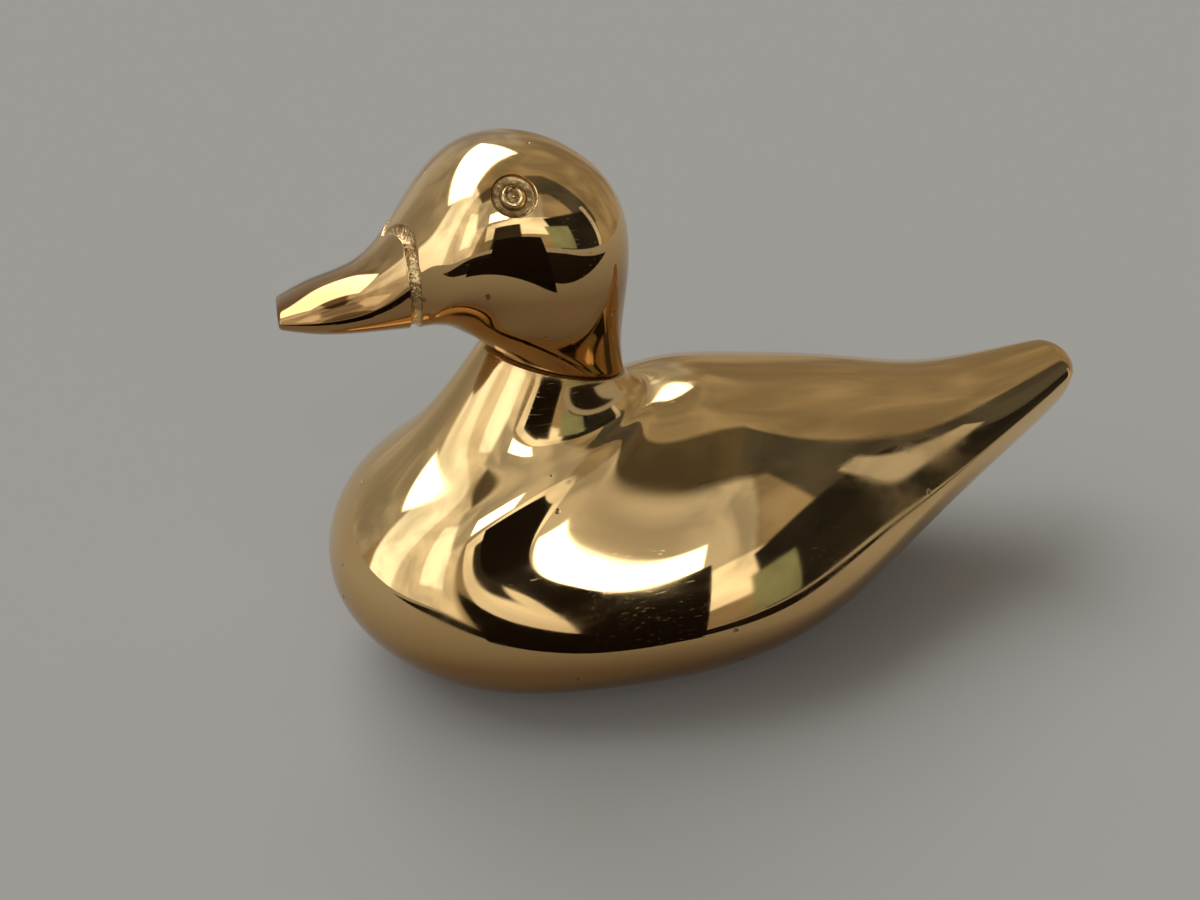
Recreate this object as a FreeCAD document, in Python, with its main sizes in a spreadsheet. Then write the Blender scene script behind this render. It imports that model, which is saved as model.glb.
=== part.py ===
import FreeCAD, Part
import math
import os
import Sketcher
from FreeCAD import Placement, Rotation, Vector

# Polished brass duck: a hollow body casting, open underneath, and a head
# casting whose spigot is brazed into the neck collar of the body.
# The duck faces -X and stands on the ground rim of the body at z = 0.

doc = FreeCAD.newDocument("BrassDuck")

# Driving sizes in millimetres.
sizes = [
    # body casting, reaches measured from the middle of the neck joint
    ("tail_reach", 119.4),
    ("breast_reach", 44.3),
    ("back_height", 53.3),
    ("body_half_width", 39.4),
    ("tail_round", 3.6),
    ("body_wall", 3.2),
    ("rim_width", 4.6),
    ("rim_depth", 3.6),
    # neck joint, an oval ring that stands higher at the throat than at the nape
    ("neck_height", 58.8),
    ("neck_run", 25.8),
    ("neck_drop", 7.5),
    ("neck_half_width", 10.9),
    ("collar_wall", 3.2),
    ("collar_depth", 15.0),
    ("braze_gap", 0.4),
    ("spigot_depth", 7.0),
    # head casting, reaches measured from the middle of the neck joint
    ("bill_reach", 46.0),
    ("poll_reach", 12.9),
    ("crown_rise", 38.7),
    ("head_half_width", 17.5),
    ("bill_round", 0.5),
    ("bill_groove_width", 1.2),
    ("bill_groove_depth", 0.6),
    ("eye_radius", 3.25),
    ("eye_boss_radius", 1.8),
    ("eye_depth", 0.9),
    ("eye_boss_drop", 0.25),
    ("pupil_radius", 0.35),
    ("pupil_depth", 0.6),
    ("overrun", 2.0),
    ("same_place", 0.001),
]
values = dict(sizes)
sheet = doc.addObject("Spreadsheet::Sheet", "Sizes")
for row, (alias, value) in enumerate(sizes, start=1):
    sheet.set(f"A{row}", alias)
    sheet.set(f"B{row}", str(value))
    sheet.setAlias(f"B{row}", alias)
doc.recompute()


class Length:
    # a value with the formula that keeps it tied to the sheet
    def __init__(self, value, text):
        self.value = value
        self.text = text

    def __add__(self, other):
        return Length(self.value + other.value, f"({self.text} + {other.text})")

    def __sub__(self, other):
        return Length(self.value - other.value, f"({self.text} - {other.text})")

    def __mul__(self, share):
        return Length(self.value * share, f"({self.text} * {share})")

    def __neg__(self):
        return Length(-self.value, f"(0 - {self.text})")


def size(alias):
    return Length(values[alias], f"Sizes.{alias}")


nothing = Length(0.0, "0")


def span(run, rise):
    return Length(math.hypot(run.value, rise.value), f"hypot({run.text}; {rise.text})")


def lean(run, rise):
    angle = math.degrees(math.atan2(run.value, rise.value))
    return Length(angle, f"atan2({run.text}; {rise.text})")


def plane(body, role):
    return next(item for item in body.Origin.OriginFeatures if item.Role == role)


def new_body(label):
    body = doc.addObject("PartDesign::Body", label)
    body.Label = label
    # every piece is shifted alike, so that the whole duck is centred over x = 0
    body.setExpression("Placement.Base.x", "(Sizes.bill_reach - Sizes.tail_reach) / 2")
    return body


def new_sketch(body, name, role, across=nothing, up=nothing, off=nothing, turn=None, axis=None):
    sketch = body.newObject("Sketcher::SketchObject", name)
    sketch.AttachmentSupport = [(plane(body, role), "")]
    sketch.MapMode = "FlatFace"
    spot = Vector(across.value, up.value, off.value)
    if turn is None:
        sketch.AttachmentOffset = Placement(spot, Rotation())
    else:
        sketch.AttachmentOffset = Placement(spot, Rotation(axis, turn.value))
        sketch.setExpression("AttachmentOffset.Rotation.Angle", turn.text)
    sketch.setExpression("AttachmentOffset.Base.x", across.text)
    sketch.setExpression("AttachmentOffset.Base.y", up.text)
    sketch.setExpression("AttachmentOffset.Base.z", off.text)
    return sketch


def tie(sketch, name, kind, first, second, length):
    # a driving dimension between two points, always stored as a positive number
    if length.value < 0:
        first, second, length = second, first, -length
    number = sketch.addConstraint(
        Sketcher.Constraint(kind, first[0], first[1], second[0], second[1], length.value)
    )
    sketch.renameConstraint(number, name)
    sketch.setExpression(f"Constraints.{name}", length.text)


origin = (-1, 1)


def oval(sketch, half, up, down, handle_shares, mark=""):
    # a closed oval of four curves with level tangents at its top and bottom and
    # upright tangents at its sides; the handles set how full each quarter is
    crown, side, bilge, floor = handle_shares
    w, u, d = half.value, up.value, down.value
    quarters = [
        [(0, u), (crown * w, u), (w, side * u), (w, 0)],
        [(w, 0), (w, -bilge * d), (floor * w, -d), (0, -d)],
        [(0, -d), (-floor * w, -d), (-w, -bilge * d), (-w, 0)],
        [(-w, 0), (-w, side * u), (-crown * w, u), (0, u)],
    ]
    curves = []
    for points in quarters:
        curve = Part.BSplineCurve()
        poles = [Vector(x, y, 0) for x, y in points]
        curve.buildFromPolesMultsKnots(poles, [4, 4], [0, 1], False, 3)
        curves.append(sketch.addGeometry(curve, False))
    handles = []
    for curve, points in zip(curves, quarters):
        pair = []
        for pole in (1, 2):
            x, y = points[pole]
            ring = Part.Circle(Vector(x, y, 0), Vector(0, 0, 1), w / 10)
            handle = sketch.addGeometry(ring, True)
            align = "InternalAlignment:Sketcher::BSplineControlPoint"
            sketch.addConstraint(Sketcher.Constraint(align, handle, 3, curve, pole))
            sketch.addConstraint(Sketcher.Constraint("Weight", handle, 1.0))
            pair.append(handle)
        handles.append(pair)
    for number, curve in enumerate(curves):
        follower = curves[(number + 1) % 4]
        sketch.addConstraint(Sketcher.Constraint("Coincident", curve, 2, follower, 1))
    sketch.addConstraint(Sketcher.Constraint("PointOnObject", curves[0], 1, -2))
    sketch.addConstraint(Sketcher.Constraint("PointOnObject", curves[1], 2, -2))
    sketch.addConstraint(Sketcher.Constraint("PointOnObject", curves[0], 2, -1))
    sketch.addConstraint(Sketcher.Constraint("Symmetric", curves[0], 2, curves[2], 2, -2))
    mirrored = [(0, 0, 3, 1), (0, 1, 3, 0), (1, 0, 2, 1), (1, 1, 2, 0)]
    for quarter, handle, other, twin in mirrored:
        first, second = handles[quarter][handle], handles[other][twin]
        sketch.addConstraint(Sketcher.Constraint("Symmetric", first, 3, second, 3, -2))
    level = [("Horizontal", handles[0][0], (curves[0], 1)), ("Vertical", handles[0][1], (curves[0], 2)),
             ("Vertical", handles[1][0], (curves[1], 1)), ("Horizontal", handles[1][1], (curves[1], 2))]
    for kind, handle, (curve, end) in level:
        sketch.addConstraint(Sketcher.Constraint(kind, handle, 3, curve, end))
    tie(sketch, mark + "half_width", "DistanceX", origin, (curves[0], 2), half)
    tie(sketch, mark + "rise", "DistanceY", origin, (curves[0], 1), up)
    tie(sketch, mark + "fall", "DistanceY", (curves[1], 2), origin, down)
    tie(sketch, mark + "crown_handle", "DistanceX", origin, (handles[0][0], 3), half * crown)
    tie(sketch, mark + "side_handle", "DistanceY", origin, (handles[0][1], 3), up * side)
    tie(sketch, mark + "bilge_handle", "DistanceY", (handles[1][0], 3), origin, down * bilge)
    tie(sketch, mark + "floor_handle", "DistanceX", origin, (handles[1][1], 3), half * floor)
    return sketch


def section(body, name, top, low, half, mid_share, handle_shares, insets=(nothing,)):
    # an oval section between a point of the upper outline and one of the lower
    # outline, both in the middle plane; its plane leans with them
    run = top[0] - low[0]
    rise = top[1] - low[1]
    whole = span(run, rise)
    sketch = new_sketch(
        body, name, "YZ_Plane",
        up=low[1] + rise * mid_share, off=low[0] + run * mid_share,
        turn=lean(run, rise), axis=Vector(1, 0, 0),
    )
    up = whole * round(1 - mid_share, 4)
    down = whole * mid_share
    for mark, inset in zip(("", "inner_"), insets):
        oval(sketch, half - inset, up - inset, down - inset, handle_shares, mark)
    return sketch


def outline(sketch, points):
    # a closed outline of straight edges whose every corner is tied to the sheet
    places = [Vector(x.value, y.value, 0) for x, y in points]
    edges = []
    for start, end in zip(places, places[1:] + places[:1]):
        edges.append(sketch.addGeometry(Part.LineSegment(start, end), False))
    for number, edge in enumerate(edges):
        follower = edges[(number + 1) % len(edges)]
        sketch.addConstraint(Sketcher.Constraint("Coincident", edge, 2, follower, 1))
    for number, (edge, (x, y)) in enumerate(zip(edges, points)):
        if x.value == 0:
            sketch.addConstraint(Sketcher.Constraint("PointOnObject", edge, 1, -2))
        else:
            tie(sketch, f"x{number}", "DistanceX", origin, (edge, 1), x)
        if y.value == 0:
            sketch.addConstraint(Sketcher.Constraint("PointOnObject", edge, 1, -1))
        else:
            tie(sketch, f"y{number}", "DistanceY", origin, (edge, 1), y)
    return sketch


def loft(body, name, kind, sections):
    feature = body.newObject(f"PartDesign::{kind}Loft", name)
    feature.Profile = sections[0]
    feature.Sections = [(item, [""]) for item in sections[1:]]
    feature.Ruled = False
    feature.Closed = False
    doc.recompute()
    return feature


def cut(body, name, sketch, length, reverse=False, both=False):
    before = body.Shape.Volume
    feature = body.newObject("PartDesign::Pocket", name)
    feature.Profile = sketch
    feature.Type = 0
    feature.Reversed = reverse
    feature.Midplane = both
    feature.setExpression("Length", length.text)
    doc.recompute()
    taken = before - body.Shape.Volume
    print(name, "takes away", round(taken, 1), "cubic mm")
    if taken <= 0:
        raise RuntimeError(f"{name} cuts nothing")
    return feature


def pad(body, name, sketch, length, reverse=False):
    feature = body.newObject("PartDesign::Pad", name)
    feature.Profile = sketch
    feature.Type = 0
    feature.Reversed = reverse
    feature.setExpression("Length", length.text)
    doc.recompute()
    return feature


def round_end(body, name, near_x, radius):
    # softens the flat end of a loft that lies in an upright plane at near_x
    base = body.Tip
    edges = []
    for number, edge in enumerate(base.Shape.Edges, start=1):
        ends = edge.BoundBox
        if abs(ends.XMin - near_x) < values["same_place"] and abs(ends.XMax - near_x) < values["same_place"]:
            edges.append(f"Edge{number}")
    feature = body.newObject("PartDesign::Fillet", name)
    feature.Base = (base, edges)
    feature.setExpression("Radius", radius.text)
    doc.recompute()
    return feature


# The neck ring: nape behind and lower, throat in front and higher.
neck_nape = (size("neck_run") * 0.5, size("neck_height") - size("neck_drop") * 0.5)
neck_throat = (size("neck_run") * -0.5, size("neck_height") + size("neck_drop") * 0.5)
neck_mid_share = 0.49
round_shares = (0.55, 0.55, 0.55, 0.55)


def neck_ring(body, name, inset=nothing):
    return section(body, name, neck_nape, neck_throat, size("neck_half_width"),
                   neck_mid_share, round_shares, (inset,))


def along(share, forward, rearward):
    # a place along X: forward of the neck joint where the share is negative
    return size(forward) * share if share < 0 else size(rearward) * share


# Body sections from the neck ring, fanned through the breast and then upright
# to the tail: top x, top z, low x, low z, half width, where the widest line
# lies from the low point, and the four handles.
body_section_shares = [
    (0.140, 0.956, -0.601, 0.856, 0.376, 0.41, 0.57, 0.46, 0.58, 0.53),
    (0.162, 0.957, -0.902, 0.615, 0.526, 0.35, 0.60, 0.33, 0.64, 0.52),
    (0.183, 0.971, -0.991, 0.339, 0.662, 0.31, 0.62, 0.21, 0.67, 0.50),
    (0.219, 0.986, -0.762, 0.082, 0.825, 0.33, 0.63, 0.16, 0.71, 0.50),
    (0.275, 0.982, -0.198, -0.038, 0.972, 0.38, 0.63, 0.15, 0.73, 0.50),
    (0.388, 0.950, 0.273, -0.043, 0.962, 0.41, 0.63, 0.15, 0.73, 0.50),
    (0.548, 0.904, 0.540, 0.110, 0.702, 0.46, 0.63, 0.16, 0.71, 0.50),
    (0.753, 0.837, 0.779, 0.347, 0.428, 0.59, 0.62, 0.20, 0.69, 0.50),
    (0.910, 0.862, 0.937, 0.540, 0.264, 0.65, 0.61, 0.27, 0.67, 0.51),
    (1.000, 0.892, 1.000, 0.628, 0.176, 0.69, 0.60, 0.31, 0.65, 0.52),
]

body_casting = new_body("body_casting")
rings = [neck_ring(body_casting, "NeckRing")]
for number, row in enumerate(body_section_shares, start=1):
    top_x, top_z, low_x, low_z, half, mid, *handles = row
    top = (along(top_x, "breast_reach", "tail_reach"), size("back_height") * top_z)
    low = (along(low_x, "breast_reach", "tail_reach"), size("back_height") * low_z)
    rings.append(section(body_casting, f"BodySection{number}", top, low,
                         size("body_half_width") * half, mid, handles))
loft(body_casting, "BodyShape", "Additive", rings)
print("body shape", round(body_casting.Shape.Volume), body_casting.Shape.BoundBox)
round_end(body_casting, "TailRound", values["tail_reach"], size("tail_round"))

# The flat ground rim that the duck stands on.
table = outline(new_sketch(body_casting, "TablePlane", "XY_Plane"), [
    (-size("breast_reach") - size("overrun"), -size("body_half_width") - size("overrun")),
    (size("tail_reach"), -size("body_half_width") - size("overrun")),
    (size("tail_reach"), size("body_half_width") + size("overrun")),
    (-size("breast_reach") - size("overrun"), size("body_half_width") + size("overrun")),
])
cut(body_casting, "GroundFlat", table, size("back_height") * 0.3)

# The core of the casting: upright ovals of the outer shape, one wall smaller.
# Each row: x, top z, low z, half width, widest line, four handles.
core_section_shares = [
    (-0.78, 0.690, 0.110, 0.540, 0.43, 0.58, 0.50, 0.60, 0.55),
    (-0.60, 0.820, 0.030, 0.695, 0.36, 0.52, 0.38, 0.66, 0.53),
    (-0.25, 0.930, 0.010, 0.870, 0.31, 0.38, 0.28, 0.72, 0.50),
    (0.08, 0.960, 0.010, 0.965, 0.33, 0.45, 0.20, 0.75, 0.50),
    (0.28, 0.955, 0.010, 0.955, 0.37, 0.60, 0.17, 0.73, 0.50),
    (0.45, 0.920, 0.060, 0.815, 0.41, 0.62, 0.16, 0.72, 0.50),
    (0.60, 0.870, 0.180, 0.605, 0.46, 0.62, 0.18, 0.71, 0.50),
    (0.76, 0.830, 0.345, 0.405, 0.55, 0.61, 0.22, 0.69, 0.50),
    (0.86, 0.835, 0.460, 0.310, 0.60, 0.60, 0.28, 0.67, 0.51),
]
core = []
for number, row in enumerate(core_section_shares, start=1):
    place, top_z, low_z, half, mid, *handles = row
    x = along(place, "breast_reach", "tail_reach")
    core.append(section(body_casting, f"CoreSection{number}",
                        (x, size("back_height") * top_z), (x, size("back_height") * low_z),
                        size("body_half_width") * half, mid, handles,
                        (size("body_wall"),)))
solid_volume = body_casting.Shape.Volume
loft(body_casting, "Core", "Subtractive", core)
print("core takes away", round(solid_volume - body_casting.Shape.Volume))

# The opening inside the ground rim.
opening_shares = (0.55, 0.55, 0.55, 0.55)
opening_middle = size("tail_reach") * 0.092
opening = oval(new_sketch(body_casting, "RimOpening", "XY_Plane", across=opening_middle),
               size("tail_reach") * 0.29 - size("rim_width"),
               size("body_half_width") * 0.574 - size("rim_width"),
               size("body_half_width") * 0.574 - size("rim_width"), opening_shares)
cut(body_casting, "RimCut", opening, size("rim_depth") + size("overrun"), reverse=True)

# The bore of the neck collar, from the ring down into the core.
bore = neck_ring(body_casting, "CollarBore", size("collar_wall"))
cut(body_casting, "CollarCut", bore, size("collar_depth"), reverse=True)

# Head sections from the neck ring, fanned about the throat over the crown and
# then upright along the bill: top x, top z, low x, low z above the neck joint,
# half width, widest line and four handles.
head_section_shares = [
    (0.923, 0.093, -0.342, 0.162, 0.785, 0.50, 0.56, 0.56, 0.55, 0.55),
    (0.948, 0.413, -0.393, 0.200, 0.942, 0.50, 0.59, 0.58, 0.55, 0.55),
    (0.789, 0.737, -0.441, 0.225, 1.000, 0.52, 0.61, 0.60, 0.55, 0.55),
    (-0.015, 0.966, -0.484, 0.233, 0.992, 0.52, 0.61, 0.60, 0.55, 0.55),
    (-0.328, 0.966, -0.520, 0.230, 0.890, 0.50, 0.60, 0.58, 0.55, 0.55),
    (-0.550, 0.715, -0.550, 0.222, 0.655, 0.46, 0.57, 0.56, 0.55, 0.55),
    (-0.709, 0.510, -0.720, 0.224, 0.512, 0.43, 0.55, 0.55, 0.55, 0.55),
    (-0.890, 0.429, -0.897, 0.243, 0.433, 0.43, 0.55, 0.55, 0.55, 0.55),
    (-1.000, 0.368, -1.000, 0.268, 0.310, 0.48, 0.55, 0.55, 0.55, 0.55),
]
groove_shares = head_section_shares[5]

head_casting = new_body("head_casting")
rings = [neck_ring(head_casting, "HeadRing")]


def head_section(name, row, insets=(nothing,)):
    top_x, top_z, low_x, low_z, half, mid, *handles = row
    joint = size("neck_height")
    top = (along(top_x, "bill_reach", "poll_reach"), joint + size("crown_rise") * top_z)
    low = (along(low_x, "bill_reach", "poll_reach"), joint + size("crown_rise") * low_z)
    return section(head_casting, name, top, low, size("head_half_width") * half, mid, handles, insets)


for number, row in enumerate(head_section_shares, start=1):
    rings.append(head_section(f"HeadSection{number}", row))
loft(head_casting, "HeadShape", "Additive", rings)
print("head shape", round(head_casting.Shape.Volume), head_casting.Shape.BoundBox)

# The groove round the root of the bill, cut square between an outline that
# stands clear of the bill and one that lies a groove depth inside it.
groove_outline = head_section("GrooveOutline", groove_shares,
                              (-size("overrun"), size("bill_groove_depth")))
cut(head_casting, "BillGroove", groove_outline, size("bill_groove_width"), both=True)

# The eye: a round recess with a low boss and a pupil pit, turned about an axis
# that looks outwards and a little upwards, and mirrored to the other side.
eye_x = size("bill_reach") * -0.223
eye_y = size("head_half_width") * -0.80
eye_z = size("neck_height") + size("crown_rise") * 0.835
eye_lean = Length(58.0, "58")
eye = new_sketch(head_casting, "EyeProfile", "YZ_Plane", across=eye_y, up=eye_z, off=eye_x,
                 turn=eye_lean, axis=Vector(0, 0, 1))
outline(eye, [
    (nothing, size("overrun")),
    (size("eye_radius"), size("overrun")),
    (size("eye_radius"), -size("eye_depth")),
    (size("eye_boss_radius"), -size("eye_depth")),
    (size("eye_boss_radius"), -size("eye_boss_drop")),
    (size("pupil_radius"), -size("eye_boss_drop")),
    (size("pupil_radius"), -size("pupil_depth")),
    (nothing, -size("pupil_depth")),
])
whole = head_casting.Shape.Volume
socket = head_casting.newObject("PartDesign::Groove", "EyeLeft")
socket.Profile = eye
socket.ReferenceAxis = (eye, ["V_Axis"])
socket.Angle = 360
doc.recompute()
print("eye takes away", round(whole - head_casting.Shape.Volume, 2))
twin = head_casting.newObject("PartDesign::Mirrored", "EyeRight")
twin.Originals = [socket]
twin.MirrorPlane = (plane(head_casting, "XZ_Plane"), [""])
head_casting.Tip = twin
doc.recompute()
print("both eyes take away", round(whole - head_casting.Shape.Volume, 2))

# The spigot that enters the neck collar.
spigot = neck_ring(head_casting, "SpigotOutline", size("collar_wall") + size("braze_gap"))
pad(head_casting, "Spigot", spigot, size("spigot_depth"))
round_end(head_casting, "BillRound", -values["bill_reach"], size("bill_round"))

# The brazing alloy that fills the gap between spigot and collar.
neck_braze = new_body("neck_braze")
outside = neck_ring(neck_braze, "BrazeOutside", size("collar_wall"))
pad(neck_braze, "BrazeFill", outside, size("spigot_depth"))
inside = neck_ring(neck_braze, "BrazeInside", size("collar_wall") + size("braze_gap"))
cut(neck_braze, "SpigotSpace", inside, size("spigot_depth"), reverse=True)

pieces = [body_casting, head_casting, neck_braze]
doc.recompute()
for item in doc.Objects:
    if "Invalid" in item.State or "Error" in item.State:
        raise RuntimeError(f"{item.Name}: {item.State}")
for piece in pieces:
    shape = piece.Shape
    if shape.isNull() or not shape.isValid() or len(shape.Solids) != 1:
        raise RuntimeError(f"{piece.Label} is not one valid solid")
os.makedirs("parts", exist_ok=True)
for piece in pieces:
    piece.Shape.exportStep(f"parts/{piece.Label}.step")
    box = piece.Shape.BoundBox
    print(piece.Label, "volume", round(piece.Shape.Volume, 1),
          "x", round(box.XMin, 2), round(box.XMax, 2), "y", round(box.YMin, 2), round(box.YMax, 2),
          "z", round(box.ZMin, 2), round(box.ZMax, 2))
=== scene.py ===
import bpy
import bmesh
import math
import numpy as np
from mathutils import Vector, Matrix


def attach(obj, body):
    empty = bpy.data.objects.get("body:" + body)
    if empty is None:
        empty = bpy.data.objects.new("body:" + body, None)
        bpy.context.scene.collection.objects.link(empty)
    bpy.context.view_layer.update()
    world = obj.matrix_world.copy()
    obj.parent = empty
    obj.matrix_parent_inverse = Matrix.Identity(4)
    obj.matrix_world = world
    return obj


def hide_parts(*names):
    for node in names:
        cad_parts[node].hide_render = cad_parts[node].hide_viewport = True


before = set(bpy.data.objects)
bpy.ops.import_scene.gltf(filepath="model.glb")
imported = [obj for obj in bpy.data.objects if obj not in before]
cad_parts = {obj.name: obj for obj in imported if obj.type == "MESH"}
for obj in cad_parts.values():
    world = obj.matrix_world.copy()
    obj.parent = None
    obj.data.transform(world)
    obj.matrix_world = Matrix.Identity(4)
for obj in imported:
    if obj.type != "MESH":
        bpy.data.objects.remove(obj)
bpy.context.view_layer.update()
scene = bpy.context.scene
mm = 0.001  # shapes below are in millimetres, meshes in metres
print("frame loaded:", sorted(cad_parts))


def ovalPoints(row, around):
    # one closed oval between a top and a low point of the middle plane, as four smooth quarters
    topX, topZ, lowX, lowZ, half, widest, crown, side, bilge, floor = row
    top, low = np.array([topX, 0, topZ]), np.array([lowX, 0, lowZ])
    length = np.linalg.norm(top - low)
    rise = (top - low) / length
    middle = low + rise * length * widest
    up, down = length * (1 - widest), length * widest
    quarters = [
        [(0, up), (-crown * half, up), (-half, side * up), (-half, 0)],
        [(-half, 0), (-half, -bilge * down), (-floor * half, -down), (0, -down)],
        [(0, -down), (floor * half, -down), (half, -bilge * down), (half, 0)],
        [(half, 0), (half, side * up), (crown * half, up), (0, up)],
    ]
    points = []
    for a, b, c, d in quarters:
        for step in range(around // 4):
            s = step / (around // 4)
            weights = ((1 - s) ** 3, 3 * (1 - s) ** 2 * s, 3 * (1 - s) * s * s, s ** 3)
            y = sum(w * p[0] for w, p in zip(weights, (a, b, c, d)))
            z = sum(w * p[1] for w, p in zip(weights, (a, b, c, d)))
            points.append(middle + np.array([0, y, 0]) + rise * z)
    return np.array(points)


def makeLoft(rows, around):
    # a natural cubic spline through the ovals, spaced by how far each moves to the next
    rings = np.array([ovalPoints(row, around) for row in rows])
    steps = np.sqrt(((rings[1:] - rings[:-1]) ** 2).sum(axis=(1, 2)))
    knots = np.concatenate([[0], np.cumsum(steps)])
    knots /= knots[-1]
    gaps = np.diff(knots)
    count = len(rows)
    matrix, slopes = np.eye(count), np.zeros((count, around, 3))
    for i in range(1, count - 1):
        matrix[i, i - 1:i + 2] = gaps[i - 1], 2 * (gaps[i - 1] + gaps[i]), gaps[i]
        slopes[i] = 6 * ((rings[i + 1] - rings[i]) / gaps[i] - (rings[i] - rings[i - 1]) / gaps[i - 1])
    bends = np.linalg.solve(matrix, slopes.reshape(count, -1)).reshape(rings.shape)
    return {"rings": rings, "knots": knots, "bends": bends, "around": around}


def loftRing(loft, place):
    # the ring at one place along the loft, or at a place of its own for each point
    place = np.clip(np.broadcast_to(np.asarray(place, float), (loft["around"],)), 0, 1)
    knots, each = loft["knots"], np.arange(loft["around"])
    span = np.clip(np.searchsorted(knots, place, side="right") - 1, 0, len(knots) - 2)
    gap = knots[span + 1] - knots[span]
    a = ((knots[span + 1] - place) / gap)[:, None]
    b = 1 - a
    first, second = loft["rings"][span, each], loft["rings"][span + 1, each]
    bendA, bendB = loft["bends"][span, each], loft["bends"][span + 1, each]
    return a * first + b * second + ((a ** 3 - a) * bendA + (b ** 3 - b) * bendB) * (gap ** 2)[:, None] / 6


def shrinkRing(ring, inset):
    # draws a ring in towards its own middle by about the inset
    middle = ring.mean(axis=0)
    arm = ring - middle
    reach = np.linalg.norm(arm, axis=1, keepdims=True)
    return middle + arm * (1 - inset / np.maximum(reach, inset * 1.01))


def skinRings(bm, rings):
    # the first ring is a circle moved into place, and each further one is extruded from the last
    made = bmesh.ops.create_circle(bm, segments=len(rings[0]), radius=mm)
    current = sorted(made["verts"], key=lambda v: v.index)
    for vert, point in zip(current, rings[0]):
        vert.co = Vector(point) * mm
    loops = [current]
    for ring in rings[1:]:
        edges = [bm.edges.get((a, b)) for a, b in zip(current, current[1:] + current[:1])]
        grown = bmesh.ops.extrude_edge_only(bm, edges=edges)["geom"]
        fresh = {v for v in grown if isinstance(v, bmesh.types.BMVert)}
        following = [next(e.other_vert(v) for e in v.link_edges if e.other_vert(v) in fresh) for v in current]
        for vert, point in zip(following, ring):
            vert.co = Vector(point) * mm
        current = following
        loops.append(current)
    return loops


def endRings(loft, radius, reach, steps=6):
    # rounds the flat end of a loft that points along X: rings that close in on a quarter circle
    places = np.linspace(0.7, 1, 400)
    middles = np.array([loftRing(loft, p)[:, 0].mean() for p in places])
    far = middles[-1]
    sign = 1 if far > middles[0] else -1
    rings = []
    for step in range(steps + 1):
        angle = math.radians(90 * step / steps)
        x = far - sign * radius * (1 - math.sin(angle))
        place = places[np.argmin(abs(middles - x))]
        ring = loftRing(loft, place)
        if step:
            ring = shrinkRing(ring, radius * (1 - math.cos(angle)))
        ring[:, 0] += x - ring[:, 0].mean()
        rings.append(ring)
    first = places[np.argmin(abs(middles - (far - sign * radius)))]
    last = rings[-1]
    for share in reach:
        rings.append(last.mean(axis=0) + (last - last.mean(axis=0)) * share)
    return first, rings


def smoothedMesh(name, bm, level):
    # turns a bmesh into a mesh, with its subdivision worked in
    mesh = bpy.data.meshes.new(name)
    bm.to_mesh(mesh)
    bm.free()
    carrier = bpy.data.objects.new(name + "Carrier", mesh)
    scene.collection.objects.link(carrier)
    smooth = carrier.modifiers.new("smooth", "SUBSURF")
    smooth.levels = smooth.render_levels = level
    result = bpy.data.meshes.new_from_object(carrier.evaluated_get(bpy.context.evaluated_depsgraph_get()))
    result.name = name
    bpy.data.objects.remove(carrier)
    bpy.data.meshes.remove(mesh)
    return result


def cutterObject(name, bm, materials):
    bmesh.ops.recalc_face_normals(bm, faces=bm.faces)
    mesh = bpy.data.meshes.new(name)
    bm.to_mesh(mesh)
    bm.free()
    for material in materials:
        mesh.materials.append(material)
    thing = bpy.data.objects.new(name, mesh)
    scene.collection.objects.link(thing)
    return thing


def removeObjects(things):
    for thing in things:
        mesh = thing.data
        bpy.data.objects.remove(thing)
        bpy.data.meshes.remove(mesh)


def cutAway(whole, cutters):
    # takes the cutters out of the whole and clears both away
    for cutter in cutters:
        cut = whole.modifiers.new("cut", "BOOLEAN")
        cut.operation, cut.object, cut.solver = "DIFFERENCE", cutter, "EXACT"
    result = bpy.data.meshes.new_from_object(whole.evaluated_get(bpy.context.evaluated_depsgraph_get()))
    removeObjects([whole] + cutters)
    return result


def handWave(points, normals, height, length, seed):
    # the slow unevenness that hand polishing leaves, which makes the reflections wander
    rng = np.random.RandomState(seed)
    wave = np.zeros(len(points))
    for _ in range(14):
        direction = rng.normal(size=3)
        direction /= np.linalg.norm(direction)
        pitch = length * rng.uniform(0.7, 1.8)
        wave += np.sin(points @ direction * 2 * math.pi / pitch + rng.uniform(0, 6.28)) / 14
    return points + normals * (wave * height)[:, None]


def newGroup(name, inputs, outputs):
    group = bpy.data.node_groups.new(name, "ShaderNodeTree")
    for label, kind, value in inputs:
        socket = group.interface.new_socket(label, in_out="INPUT", socket_type=kind)
        if value is not None:
            socket.default_value = value
    for label, kind in outputs:
        group.interface.new_socket(label, in_out="OUTPUT", socket_type=kind)
    return group, group.nodes.new("NodeGroupInput"), group.nodes.new("NodeGroupOutput")


def addNode(tree, kind, **settings):
    node = tree.nodes.new(kind)
    for key, value in settings.items():
        setattr(node, key, value)
    return node


def mathNode(tree, operation, first, second=None, third=None, clamp=False):
    node = addNode(tree, "ShaderNodeMath", operation=operation, use_clamp=clamp)
    for socket, value in zip(node.inputs, (first, second, third)):
        if value is None:
            continue
        if isinstance(value, (int, float)):
            socket.default_value = value
        else:
            tree.links.new(value, socket)
    return node.outputs[0]


def rangeNode(tree, value, low, high):
    # 0 at low, 1 at high, smooth between them
    node = addNode(tree, "ShaderNodeMapRange", interpolation_type="SMOOTHSTEP")
    tree.links.new(value, node.inputs["Value"])
    node.inputs["From Min"].default_value = low
    node.inputs["From Max"].default_value = high
    return node.outputs[0]


def stretched(tree, vector, scale, turn=(0, 0, 0)):
    node = addNode(tree, "ShaderNodeMapping", vector_type="POINT")
    node.inputs["Scale"].default_value = scale
    node.inputs["Rotation"].default_value = turn
    tree.links.new(vector, node.inputs["Vector"])
    return node.outputs[0]


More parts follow.
